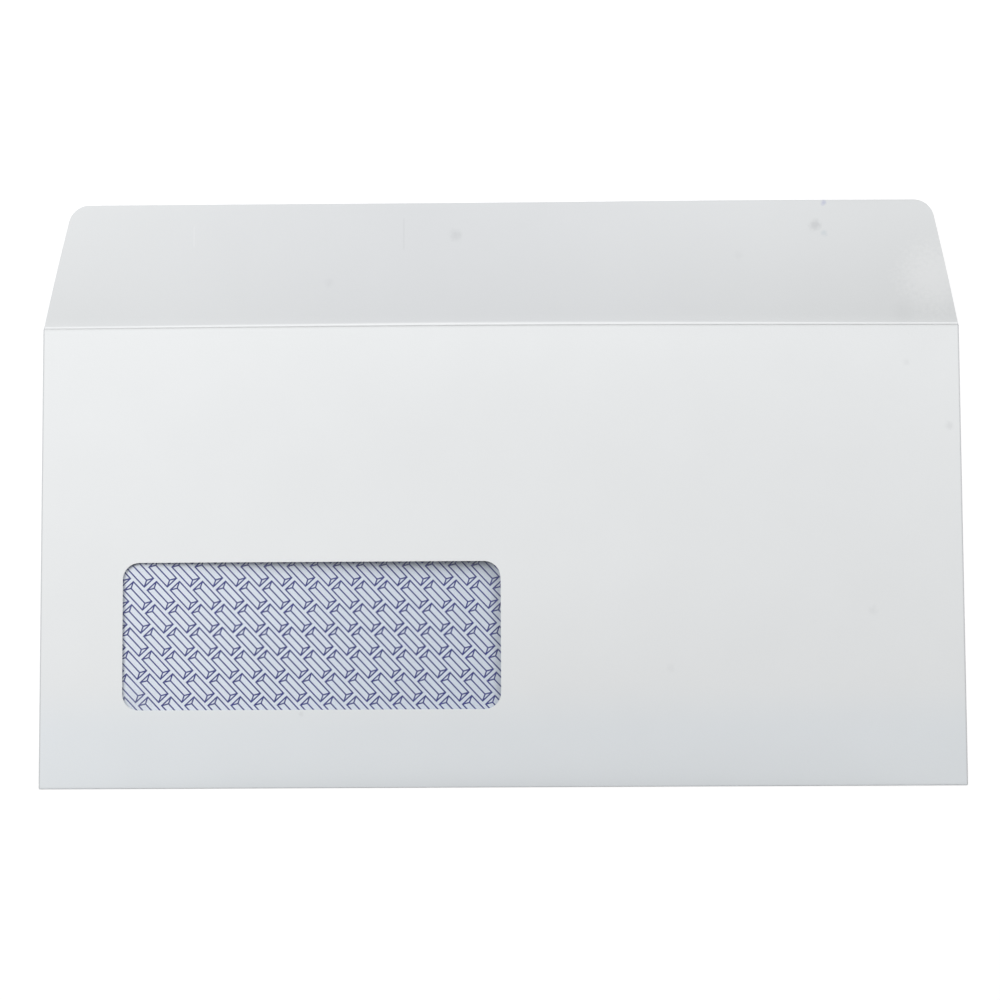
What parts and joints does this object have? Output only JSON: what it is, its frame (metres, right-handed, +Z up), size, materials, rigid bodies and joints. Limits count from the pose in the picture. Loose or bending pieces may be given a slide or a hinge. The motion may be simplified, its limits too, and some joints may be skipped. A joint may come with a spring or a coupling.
{
  "type": "paper envelope",
  "caption": "White paper wallet envelope lying face up, with a tapered flap open, a clear address window at the lower left and a tint print inside.",
  "frame": {"origin": "centre of the body on the back panel's outer face, halfway between the side folds and halfway from the bottom fold to the crease", "axes": "+X along the width towards the side without the window, +Y from the bottom fold towards the flap, +Z up out of the front panel"},
  "size_m": [0.22, 0.1398, 0.005],
  "materials": {
    "paper": "smooth uncoated white wove paper",
    "film": "clear gloss film",
    "ink": "matt blue-violet printing ink"
  },
  "bodies": {
    "root": {"folded_sheet": "paper", "window_film": "film", "tint_print": "ink"}
  },
  "joints": []
}
